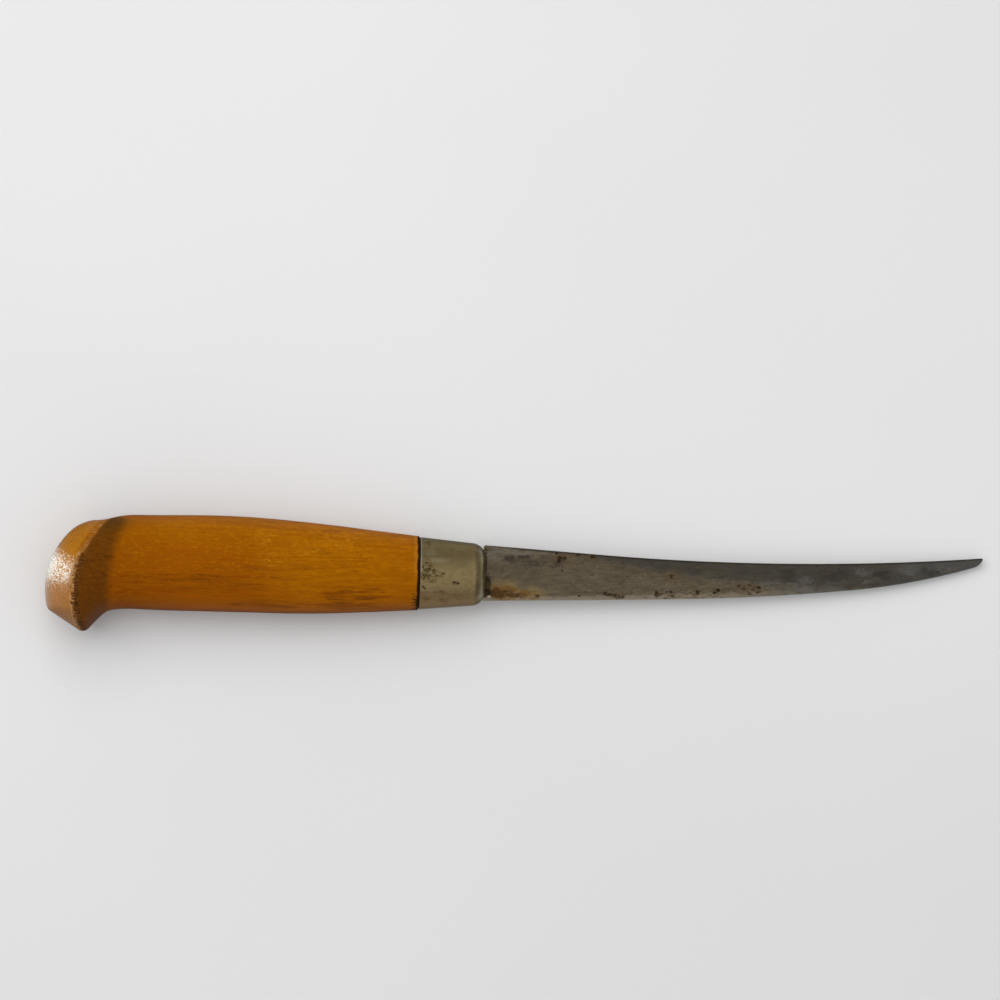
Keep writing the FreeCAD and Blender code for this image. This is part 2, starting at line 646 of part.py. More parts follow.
for item in doc.Objects:
    if "Invalid" in item.State or "Error" in item.State:
        raise RuntimeError("not built: " + item.Label)
os.makedirs("parts", exist_ok=True)
for body in bodies:
    if body.Shape.isNull() or not body.Shape.isValid() or len(body.Shape.Solids) != 1:
        raise RuntimeError("bad solid: " + body.Label)
    body.Shape.exportStep("parts/%s.step" % body.Label)
print("lean", lean, "shift", shift)
for body in bodies:
    box = body.Shape.optimalBoundingBox(True, False)
    print(body.Label, round(body.Shape.Volume, 1), box)
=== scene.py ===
"""Fillet knife: finishes, floor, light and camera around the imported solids."""
import math

import bmesh
import bpy
from mathutils import Matrix, Vector

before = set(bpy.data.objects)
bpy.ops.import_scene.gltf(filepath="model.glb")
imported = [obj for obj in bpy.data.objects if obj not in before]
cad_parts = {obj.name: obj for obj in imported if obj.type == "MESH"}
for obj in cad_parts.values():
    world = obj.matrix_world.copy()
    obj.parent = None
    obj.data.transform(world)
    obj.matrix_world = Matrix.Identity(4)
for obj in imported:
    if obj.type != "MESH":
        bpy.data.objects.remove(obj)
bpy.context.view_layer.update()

MM = 0.001
# The knife lies leaned about Y, with the butt's rim and the handle's shoulder on the floor.
# Marks are placed in the knife's own frame, in mm from the blade's heel: X to the tip, Y to the spine.
LEAN = math.radians(2.14253)
HEEL_AT = Vector((-9.574, 2.012, 7.910))
FERRULE_FRONT = 0.8
FERRULE_REAR = -19.5
WOOD_FRONT = -20.3
TIP = 153.5

# How much a zone lifts the noise of the patches in it.
FRAY = 0.4
# A mark ends at the first and is full at the second of these shares of its half length and width.
MARK_END, MARK_FULL = 1.4, 0.6


def srgb(code):
    """Linear colour of a hex value as it is seen on a screen."""
    parts = [int(code[i:i + 2], 16) / 255 for i in (1, 3, 5)]
    linear = [c / 12.92 if c <= 0.04045 else ((c + 0.055) / 1.055) ** 2.4 for c in parts]
    return (*linear, 1.0)


def add(tree, kind, sockets, **settings):
    """Adds a node with its settings; each socket gets a link or a plain value."""
    made = tree.nodes.new("ShaderNode" + kind)
    for name, setting in settings.items():
        setattr(made, name, setting)
    for key, value in sockets.items():
        if isinstance(value, bpy.types.Node):
            value = value.outputs[0]
        if isinstance(value, bpy.types.NodeSocket):
            tree.links.new(value, made.inputs[key])
        else:
            made.inputs[key].default_value = value
    return made


def new_finish(name):
    material = bpy.data.materials.new(name)
    material.use_nodes = True
    tree = material.node_tree
    return material, tree, tree.nodes["Principled BSDF"]


def knife_place(tree):
    """Place on the knife in its own frame, in millimetres."""
    back = Matrix.Rotation(-LEAN, 3, "Y")
    spot = add(tree, "TexCoord", {}).outputs["Object"]
    return add(tree, "Mapping", {"Vector": spot, "Location": -(back @ HEEL_AT),
                                 "Rotation": (0, -LEAN, 0), "Scale": (1 / MM, 1 / MM, 1 / MM)})


def ragged(tree, place, size, reach):
    """Place pushed about by up to reach mm in swirls of the given size, for torn outlines."""
    spread = add(tree, "Mapping", {"Vector": place, "Scale": [1 / size] * 3})
    swirl = add(tree, "TexNoise", {"Vector": spread, "Scale": 1.0, "Detail": 2.0}).outputs["Color"]
    push = add(tree, "VectorMath", {0: swirl, 1: [2 * reach] * 3, 2: [-reach] * 3},
               operation="MULTIPLY_ADD")
    return add(tree, "VectorMath", {0: place, 1: push}, operation="ADD")


def cloudy(tree, place, sizes, low, high, strength=1.0, zone=None):
    """Mask of random patches of these sizes in mm, from none at low to full at high of the noise.

    A zone, itself a mask, frays them out towards its border.
    """
    spread = add(tree, "Mapping", {"Vector": place, "Scale": [1 / size for size in sizes]})
    noise = add(tree, "TexNoise", {"Vector": spread, "Scale": 1.0, "Detail": 3.0, "Roughness": 0.55})
    lift = 0.0
    if zone:
        lift = FRAY
        noise = add(tree, "Math", {0: zone, 1: lift, 2: noise}, operation="MULTIPLY_ADD")
    return add(tree, "MapRange", {0: noise, 1: low + lift, 2: high + lift, 4: strength},
               interpolation_type="SMOOTHSTEP")


def marks(tree, place, spots):
    """Mask of single marks: (x, y, half length, half width) in knife mm, soft at the edge."""
    found = None
    for x, y, length, width in spots:
        near = add(tree, "VectorMath", {0: place, 1: (1 / length, 1 / width, 0),
                                        2: (-x / length, -y / width, 0)}, operation="MULTIPLY_ADD")
        far = add(tree, "VectorMath", {0: near}, operation="LENGTH").outputs["Value"]
        mark = add(tree, "MapRange", {0: far, 1: MARK_END, 2: MARK_FULL}, interpolation_type="SMOOTHSTEP")
        found = add(tree, "Math", {0: found, 1: mark}, operation="MAXIMUM") if found else mark
    return found


def where(tree, *limits):
    """Mask of the place where each (value, none, full) has passed from none to full.

    Masks and plain strengths among the limits weaken it.
    """
    held = None
    for limit in limits:
        if isinstance(limit, tuple):
            value, none, full = limit
            limit = add(tree, "MapRange", {0: value, 1: none, 2: full}, interpolation_type="SMOOTHSTEP")
        held = add(tree, "Math", {0: held, 1: limit}, operation="MULTIPLY") if held else limit
    return held


def past_line(tree, along, across, points):
    """How far a place lies across a line drawn through (along, across) points."""
    stations, heights = zip(*points)
    first, last, low, high = stations[0], stations[-1], min(heights), max(heights)
    share = add(tree, "MapRange", {0: along, 1: first, 2: last})
    curve = add(tree, "FloatCurve", {"Value": share})
    drawn = curve.mapping.curves[0].points
    scaled = [((s - first) / (last - first), (h - low) / (high - low)) for s, h in points]
    drawn[0].location, drawn[1].location = scaled[0], scaled[-1]
    for spot in scaled[1:-1]:
        drawn.new(*spot)
    curve.mapping.update()
    line = add(tree, "MapRange", {0: curve, 3: low, 4: high})
    return add(tree, "Math", {0: across, 1: line}, operation="SUBTRACT")


NUMBERS = {"rough": "Roughness", "metal": "Metallic", "coat": "Coat Weight"}


def dress(tree, shader, relief, ground, layers):
    """Lays finishes over each other on a shader.

    The ground has a colour, a height from 0 to 1 of the relief in mm, and other numbers. Each layer has
    a mask and what it changes of these.
    """
    state = dict(ground, colour=srgb(ground["colour"]))
    for mask, changes in layers:
        for name, value in changes.items():
            if name == "colour":
                laid = add(tree, "Mix", {0: mask, 6: state[name], 7: srgb(value)}, data_type="RGBA")
                state[name] = laid.outputs[2]
            else:
                state[name] = add(tree, "Mix", {0: mask, 2: state[name], 3: value}).outputs[0]
    bump = add(tree, "Bump", {"Height": state["height"], "Strength": 1.0, "Distance": relief * MM})
    for socket in ("Normal", "Coat Normal"):
        tree.links.new(bump.outputs[0], shader.inputs[socket])
    tree.links.new(state["colour"], shader.inputs["Base Color"])
    for name, socket in NUMBERS.items():
        if isinstance(state.get(name), bpy.types.NodeSocket):
            tree.links.new(state[name], shader.inputs[socket])
        elif name in state:
            shader.inputs[socket].default_value = state[name]


# Pale flecks, soil and smears on the grip, and two nicks at the end of the cove.
FLECKS = [(-68, 9.8, 5, 3.4), (-65, 3.4, 6.5, 3.2), (-44.7, 9.7, 8, 3.4), (-56, 7, 7, 3)]
GRIME = [(-39, -6.6, 12, 2.6), (-40, -10.4, 18, 1.2), (-66, -10.5, 14, 1.6)]
SMEARS = [
    (-40.5, -6.4, 5.5, 0.7), (-33.4, -5.9, 5, 0.8), (-45.5, -8, 4, 0.9), (-42.4, -9.5, 4.5, 0.6),
    (-36, -8.2, 5, 0.5), (-75.5, -10.9, 3.2, 0.6)]
FAINT_SMEARS = [
    (-68, 0.3, 7, 1.2), (-54, 0.8, 7, 1.0), (-48.8, 5.5, 3, 1.0), (-47.1, 12.4, 4, 0.7),
    (-84, -3.6, 10, 1.2), (-72, -5.2, 9, 1.0), (-60, -2.6, 8, 0.8)]
NICKS = [(-115.2, 2.9, 1.6, 0.6), (-116.3, -2.9, 0.9, 0.6)]
# The butt's rim as (y, x), and how far the cove's darkening, soil and painted shade, reaches from it as (y,
# mm).
RIM_LINE = [(-20, -122.5), (-14.2, -125.1), (-5.6, -125.6), (-1.9, -125.2), (5.8, -122.5), (14.4, -115.9)]
COVE_REACH = [(-20, 9.5), (-2, 10.5), (8, 8.8), (15, 3.2)]


def varnished_birch():
    # Birch, turned and sanded, under old amber varnish: lengthwise streaks show through it; the cove is
    # darkened with soil and painted shade, and along the butt's rim the varnish is rubbed off, with a painted
    # highlight on the lit edge.
    material, tree, shader = new_finish("turned_varnished_birch")
    place = knife_place(tree)
    x, y, z = add(tree, "SeparateXYZ", {0: place}).outputs
    fibres = ragged(tree, place, 20, 0.9)
    curled = ragged(tree, place, 3, 1.0)
    torn = ragged(tree, place, 1.8, 0.45)
    torn_x = add(tree, "SeparateXYZ", {0: torn}).outputs[0]
    upper = where(tree, (z, 0, 4))

    # Grain; the real fibres are finer than 0.1 mm and are drawn up to 0.9 mm wide to show.
    streaks = cloudy(tree, fibres, (30, 0.9, 0.9), 0.42, 0.68, 0.45)
    mottle = cloudy(tree, fibres, (4.5, 1.2, 1.2), 0.42, 0.66, 0.5)
    dashes = cloudy(tree, fibres, (5, 0.42, 0.42), 0.54, 0.72, 0.45)
    honey = cloudy(tree, fibres, (34, 8, 8), 0.45, 0.7, 0.5)
    russet = cloudy(tree, fibres, (45, 4, 4), 0.5, 0.72, 0.5)
    grainy = cloudy(tree, ragged(tree, place, 2, 0.6), (1.6, 0.55, 0.55), 0.42, 0.62, 0.5)
    sparkle = where(tree, cloudy(tree, curled, (2.0, 0.5, 0.5), 0.54, 0.7, 0.4), (y, -11, 4))
    # Curl in the grain shows as short pale flecks on the upper middle.
    flecks = cloudy(tree, curled, (2.4, 0.42, 0.42), 0.50, 0.68, 0.4, zone=marks(tree, place, FLECKS))

    # Painted light brightens the grip's middle, and painted shade darkens its lower side and its end towards
    # the butt; it is also darker over the palm and along the lower edge.
    painted_belly_light = where(tree, (x, -78, -52), (x, -20, -40), (y, -9, 5), 0.5)
    # Painted shade on the lower side of the grip.
    lower_side_shade = where(tree, (y, -4, -10), 0.45)
    low_edge = where(tree, (z, 5, 1), (y, -7, -11), (x, -120, -105), 0.5)
    palm_side = where(tree, (x, -52, -80), (y, 12, 3), 0.75)
    in_palm = where(tree, (x, -55, -75), (y, 1.5, -3), (y, -11, -8))
    palm_band = cloudy(tree, fibres, (25, 2.0, 2.0), 0.34, 0.6, 0.9, zone=in_palm)
    low_palm = where(tree, upper, (x, -116, -108), (x, -62, -78), (y, 1, -2), (y, -10, -7))
    palm_streaks = cloudy(tree, fibres, (16, 0.6, 0.6), 0.42, 0.62, 0.6, zone=low_palm)
    # Painted shade towards the butt, deeper on its lower side.
    butt_shade = where(tree, (x, -92, -110), 0.6)
    low_butt_shade = where(tree, (x, -88, -112), (y, -2, -11), 0.75)

    # Soil that the hand left, on the side that shows.
    grime = cloudy(tree, fibres, (12, 0.9, 0.9), 0.38, 0.6, 0.65,
                   zone=where(tree, upper, marks(tree, fibres, GRIME)))
    smears = cloudy(tree, fibres, (7, 0.3, 0.3), 0.42, 0.6, 0.7,
                    zone=where(tree, upper, marks(tree, fibres, SMEARS)))
    faint_smears = cloudy(tree, fibres, (7, 0.34, 0.34), 0.40, 0.6, 0.34,
                          zone=where(tree, upper, marks(tree, fibres, FAINT_SMEARS)))
    nicks = where(tree, marks(tree, torn, NICKS), 0.45)

    # Cove, rim and end of the butt, by their distance from the rim's line.
    off_rim = past_line(tree, y, torn_x, RIM_LINE)
    into_cove = past_line(tree, y, off_rim, COVE_REACH)
    # The cove's dark colour is partly soil and partly painted shade of the hollow.
    cove = where(tree, (off_rim, 0.6, 1.6), (into_cove, 2.2, -2.5), 0.95)
    cove_grain = where(tree, cove, cloudy(tree, torn, (3.0, 0.7, 0.7), 0.42, 0.66, 0.55))
    cove_pale = where(tree, cove, cloudy(tree, fibres, (2.2, 0.5, 0.5), 0.50, 0.68, 0.4))
    # Painted shade, darkest at the top of the cove against the rim.
    top_cove_shade = where(tree, (y, 8.5, 13.5), (off_rim, 0.2, 1.2), (into_cove, 4.5, -1.5), 0.6)
    # The rim's pale line is worn varnish and a painted highlight on the lit edge.
    rim_wear_and_highlight_zone = where(tree, (off_rim, -1.8, -1.2), (off_rim, 0.4, -0.2), (y, 11, 1))
    rim_wear_and_highlight = cloudy(tree, torn, (0.8, 1.4, 1.4), 0.36, 0.52, 0.85, zone=rim_wear_and_highlight_zone)
    # Along the rim on the cove's side the varnish is gone, and the dark colour there is painted shade.
    rim_dark = where(tree, (off_rim, -0.4, 0.3), (off_rim, 2.0, 1.0), (y, 13, 3), 0.8)
    cracked_rim = where(tree, (off_rim, -1.6, -0.4), (off_rim, 2.4, 1.2), (y, 9, 1))
    checks = cloudy(tree, place, (5.0, 0.38, 0.38), 0.46, 0.56, 0.9, zone=cracked_rim)
    back_rim = where(tree, (off_rim, -1.6, -0.6), (off_rim, 1.6, 0.6), (y, 0, 4))
    rim_ticks = cloudy(tree, torn, (2.2, 0.4, 0.4), 0.46, 0.58, 0.6, zone=back_rim)
    dome = where(tree, (off_rim, -0.8, -1.8))
    dome_tone = where(tree, dome, 0.6)
    # Painted reflection of the pale ground makes the lower end of the butt paler and pinker.
    lower_dome_reflection = where(tree, dome, (y, 1, -8), 0.75)
    pores = where(tree, dome, cloudy(tree, torn, (0.9, 0.5, 0.5), 0.48, 0.66, 0.6))
    dulled = where(tree, dome, cloudy(tree, torn, (0.8, 0.6, 0.6), 0.48, 0.55))
    ripple = where(tree, dome, cloudy(tree, place, (1.0, 0.8, 0.8), 0.3, 0.7))

    # The wood's front end against the ferrule: a dark line of soil, and a pale worn edge behind it.
    raw_edge = where(tree, (torn_x, WOOD_FRONT - 1.4, WOOD_FRONT - 0.9),
                     (torn_x, WOOD_FRONT, WOOD_FRONT - 0.4), (y, -4, 2), 0.3)
    low_front = where(tree, (x, WOOD_FRONT - 3.7, WOOD_FRONT - 0.3), (y, -3.5, -7))
    splinters = cloudy(tree, fibres, (3, 0.4, 0.4), 0.42, 0.56, zone=low_front)
    joint = where(tree, (torn_x, WOOD_FRONT - 0.45, WOOD_FRONT))

    dress(tree, shader, 0.06, dict(colour="#a05e03", rough=0.45, coat=0.03, height=0.5), [
        (honey, dict(colour="#a96804")),
        (russet, dict(colour="#8f4e03")),
        (painted_belly_light, dict(colour="#ac6804")),
        (palm_side, dict(colour="#904502")),
        (butt_shade, dict(colour="#844402")),
        (palm_band, dict(colour="#823e04")),
        (palm_streaks, dict(colour="#5c2c06")),
        (lower_side_shade, dict(colour="#984e02")),
        (low_butt_shade, dict(colour="#6f3304")),
        (streaks, dict(colour="#824602", height=0.4)),
        (mottle, dict(colour="#8c5003")),
        (dashes, dict(colour="#683806", height=0.35)),
        (grainy, dict(colour="#8a4c02")),
        (sparkle, dict(colour="#b87608")),
        (flecks, dict(colour="#c68c1e")),
        (grime, dict(colour="#713a05")),
        (low_edge, dict(colour="#5e2f05")),
        (smears, dict(colour="#52280a", height=0.3)),
        (faint_smears, dict(colour="#56290a", height=0.4)),
        (cove, dict(colour="#613708", rough=0.5)),
        (cove_grain, dict(colour="#4a2708")),
        (cove_pale, dict(colour="#7c480a")),
        (nicks, dict(colour="#3c2008", height=0.1)),
        (top_cove_shade, dict(colour="#4a3007")),
        (dome, dict(rough=0.36, coat=1.0)),
        (dome_tone, dict(colour="#b27614")),
        (lower_dome_reflection, dict(colour="#9d6c3d")),
        (pores, dict(colour="#84501a", coat=0.6)),
        (dulled, dict(coat=0.12)),
        (ripple, dict(height=0.9)),
        (rim_dark, dict(colour="#5e3c1a", rough=0.55, coat=0.0)),
        (rim_wear_and_highlight, dict(colour="#a87f50", coat=0.1)),
        (rim_ticks, dict(colour="#a87c3c")),
        (checks, dict(colour="#35200e", rough=0.7, coat=0.0, height=0.0)),
        (raw_edge, dict(colour="#b07a28")),
        (splinters, dict(colour="#40220a", rough=0.6)),
        (joint, dict(colour="#2a1707", rough=0.8, coat=0.0))])
    shader.inputs["IOR"].default_value = 1.5
    # The varnish is so deep in colour that its dull sheen is amber too.
    shader.inputs["Specular IOR Level"].default_value = 0.2
    shader.inputs["Specular Tint"].default_value = srgb("#c87808")
    shader.inputs["Coat Roughness"].default_value = 0.1
    return material


# Tarnish and pits on the ferrule's side that shows.
RUBBED = [(-16.4, 6.7, 1.6, 1.2), (-14.0, 4.2, 2.4, 0.7)]
OLIVE_PATCHES = [
    (-17.6, 2.2, 2.2, 1.6), (-17.8, -0.4, 2.0, 2.4), (-17.2, 9.3, 1.2, 0.7), (-13.6, -0.3, 2.2, 1.0),
    (-15.4, 0.8, 1.4, 0.9)]
BROWN_PATCHES = [
    (-8.6, -2.7, 1.5, 0.9), (-15.9, -1.4, 1.8, 1.6), (-12.9, -5.6, 2.6, 0.7), (-12.0, -8.0, 2.0, 0.7),
    (-6.8, -9.2, 1.5, 0.9), (-8.1, -6.5, 2.4, 0.7), (-17.4, -7.6, 1.6, 0.8)]
FERRULE_PITS = [
    (-9.0, -2.6, 0.75, 0.4), (-7.9, -2.9, 0.55, 0.4), (-18.6, -4.1, 0.42, 0.42), (-18.0, -4.6, 0.45, 0.4),
    (-18.9, 0.2, 0.3, 0.3), (-18.6, -0.5, 0.24, 0.24), (-18.3, -1.6, 0.26, 0.26),
    (-19.2, -1.1, 0.22, 0.26), (-16.8, 1.6, 0.32, 0.26)]
NOSE_MIDDLE = 1.6


def tarnished_nickel_silver():
    # Copper, nickel and zinc, drawn to a cup and polished once: olive grey with age, brown at the rear
    # where the hand's sweat sits, with a few pits through to black.
    material, tree, shader = new_finish("tarnished_nickel_silver")
    place = knife_place(tree)
    x, y, z = add(tree, "SeparateXYZ", {0: place}).outputs
    torn = ragged(tree, place, 1.6, 0.8)
    upper = where(tree, (z, 1, 4))

    bloom = cloudy(tree, place, (7, 4, 4), 0.4, 0.7, 0.6)
    mottle = cloudy(tree, torn, (1.5, 0.9, 0.9), 0.45, 0.66, 0.4)
    drawn = cloudy(tree, place, (9, 0.5, 0.5), 0.45, 0.66, 0.3)
    green = where(tree, (y, 7.5, 10.5), 0.6)
    # Painted shade: a darker band above the middle, back from the nose.
    upper_band_shade = where(tree, (y, 0, 3.5), (y, 7.5, 5), (x, -2.5, -6), 0.6)
    reddish = where(tree, (y, -2.5, -7.5), cloudy(tree, torn, (5, 2, 2), 0.3, 0.55), 0.8)
    pale = where(tree, upper, marks(tree, torn, RUBBED), 0.5)
    olive = cloudy(tree, torn, (1.2, 0.8, 0.8), 0.38, 0.58, 0.85,
                   zone=where(tree, upper, marks(tree, place, OLIVE_PATCHES)))
    brown = cloudy(tree, torn, (1.6, 0.7, 0.7), 0.3, 0.64, 0.85,
                   zone=where(tree, upper, marks(tree, place, BROWN_PATCHES)))
    rear_side = where(tree, upper, (x, -9, -16), (y, -7, -3), (y, 8, 3))
    specks = cloudy(tree, place, (0.6, 0.5, 0.5), 0.52, 0.64, 0.6, zone=rear_side)
    pits = where(tree, upper, marks(tree, ragged(tree, place, 0.7, 0.25), FERRULE_PITS))
    # Painted shade dulls the nose away from its middle, so it is bright only there.
    from_middle = add(tree, "Math", {0: y, 1: NOSE_MIDDLE}, operation="SUBTRACT")
    off_middle = add(tree, "Math", {0: from_middle}, operation="ABSOLUTE")
    nose_shade = where(tree, (x, -3.0, -2.0), (off_middle, 2.8, 5.0), 0.7)
    # Painted highlight along the upper half of the ferrule's rear rim.
    rear_rim_highlight = where(tree, (x, FERRULE_REAR + 0.55, FERRULE_REAR + 0.2), (y, -1.5, 2.5), 0.7)
    mouth = where(tree, (x, FERRULE_FRONT - 0.5, FERRULE_FRONT - 0.15), 0.8)

    dress(tree, shader, 0.05, dict(colour="#c6af7e", rough=0.3, metal=1.0, height=0.6), [
        (bloom, dict(colour="#b8a06c", rough=0.36)),
        (reddish, dict(colour="#caa279")),
        (green, dict(colour="#a5a078")),
        (upper_band_shade, dict(colour="#a28d66")),
        (drawn, dict(colour="#a89468")),
        (mottle, dict(colour="#9c875c", rough=0.4)),
        (pale, dict(colour="#d2c49c")),
        (nose_shade, dict(colour="#978360")),
        (olive, dict(colour="#6c5e34", rough=0.5, height=0.4)),
        (brown, dict(colour="#75532f", rough=0.55, metal=0.7)),
        (specks, dict(colour="#5a4820", rough=0.6, metal=0.5, height=0.35)),
        (rear_rim_highlight, dict(colour="#eee6cc")),
        (mouth, dict(colour="#4a4236", rough=0.6)),
        (pits, dict(colour="#3a2912", rough=0.85, metal=0.2, height=0.1))])
    return material


# Lines along the blade as (x, y): its spine, its edge, and the lower border of the oxide.
SPINE_LINE = [(0, 9.12), (36.5, 6.95), (60, 5.9), (83, 5.57), (106, 5.92), (130, 7.0), (TIP, 8.75)]
EDGE_LINE = [(0, -8.03), (56, -6.2), (85, -4.63), (113, -2.0), (134, 1.5), (150.3, 5.77), (TIP, 8.75)]
OXIDE_LINE = [
    (0, 13), (20, 9.5), (36, 5.2), (52, 2.6), (67, 0.9), (97, -0.4), (118, -2.0), (TIP, -3)]
# Stains on the blade's flat, dark and pale.
CLOUDS = [
    (94.6, 1.5, 4.5, 1.9), (107.6, 2.7, 5.5, 2.6), (136, 4, 4.5, 1.9), (15.1, 4.3, 11, 2.4), (123, 2.6, 4, 2)]
SMUDGES = [
    (99.1, 0.8, 2.4, 1.1), (116.6, 3.8, 3, 1.4), (117, 0.7, 2, 0.9), (130.4, 4.8, 3.8, 1.9),
    (103.6, -2.2, 8, 1.5), (142, 5.2, 3, 1.0), (88, -0.6, 4, 0.8)]
BRIGHT_BACK = [(12.5, 7.4, 11, 1.2), (3.5, 6, 4, 3)]
# Pits, the dark rings round them and the brown haze round those, on the side that shows.
PITS = [
    (37.6, -4.9, 0.8, 0.7), (39.2, -5.4, 1.2, 0.6), (41.1, -5.6, 1.4, 0.8), (43.1, -5.9, 0.9, 0.6),
    (53.4, -4.7, 0.6, 1.4), (54.1, -4.8, 0.6, 0.6), (57.4, -3.9, 1.2, 0.35), (58.1, -5, 0.6, 0.6),
    (65.9, -4, 0.55, 1.2), (71.3, -3.9, 0.7, 0.55), (72.2, -3, 0.7, 0.5), (78.8, -1.5, 0.9, 0.5),
    (79.8, -2.5, 0.9, 0.5), (81.8, -1.3, 0.7, 0.4), (84.8, -1.9, 1.0, 0.5), (83, -2.7, 0.9, 0.4),
    (82.1, -3.9, 1.0, 0.5), (84.3, -3.4, 0.6, 0.5), (22.5, 7, 0.6, 0.45), (23.3, 5.2, 0.7, 1.3),
    (24.7, 5.8, 1, 0.6), (29.1, 6.8, 0.8, 0.4), (33.7, 6.4, 1.2, 0.55), (24.3, 1.8, 0.6, 0.4),
    (29.7, -5.9, 0.4, 0.45), (16.9, -6.4, 0.65, 0.5), (57.8, 0.8, 0.6, 0.75), (102.2, 5.1, 0.3, 0.2)]
HALOS = [
    (38.5, -5.2, 2.6, 1.1), (41.8, -5.7, 2.4, 0.9), (53.7, -4.7, 1.5, 1.9), (57.8, -4.3, 2, 1.2),
    (65.9, -4, 1.4, 1.7), (71.8, -3.5, 1.9, 1.2), (79.3, -2, 2, 1.4), (83, -2.6, 3.2, 2.1),
    (23.6, 5.8, 2.4, 1.9), (29.1, 6.8, 1.4, 0.8), (33.7, 6.4, 1.7, 0.9), (57.8, 0.8, 1.2, 1.1),
    (16.9, -6.4, 1.2, 0.9)]
BROWN_HAZE = [
    (25, 5.0, 5, 2.6), (33, 6, 3.5, 1.4), (58, 0.8, 4, 2.4), (68, -3.4, 8, 1.8), (82, -2.6, 6, 2.4),
    (41, -5.4, 6, 1.6)]
# The heel: soil darkened further by painted shadow against the ferrule, rust in three depths, and a small
# pale spot at the lower corner.
HEEL_SOIL_AND_SHADOW = [(1.4, -3.8, 1.3, 4.0), (0.7, 3.9, 0.5, 5)]
RUST_HAZE = [(6.5, -4.7, 7, 3.4), (12.5, -5.4, 8, 2.6)]
RUST = [(6.3, -5.3, 5.6, 2.7), (11.5, -6.0, 6.5, 1.7)]
DARK_RUST = [
    (4.2, -5.0, 1.8, 1.3), (7.2, -5.9, 3.2, 1.6), (4.5, -6.8, 2.2, 0.9), (11.5, -6.0, 2.2, 0.8),
    (16.5, -6.4, 1.1, 0.7), (2.2, -5.6, 1.2, 1.4)]
PALE_HEEL_SPOT = [(1.9, -7.0, 0.6, 0.8)]


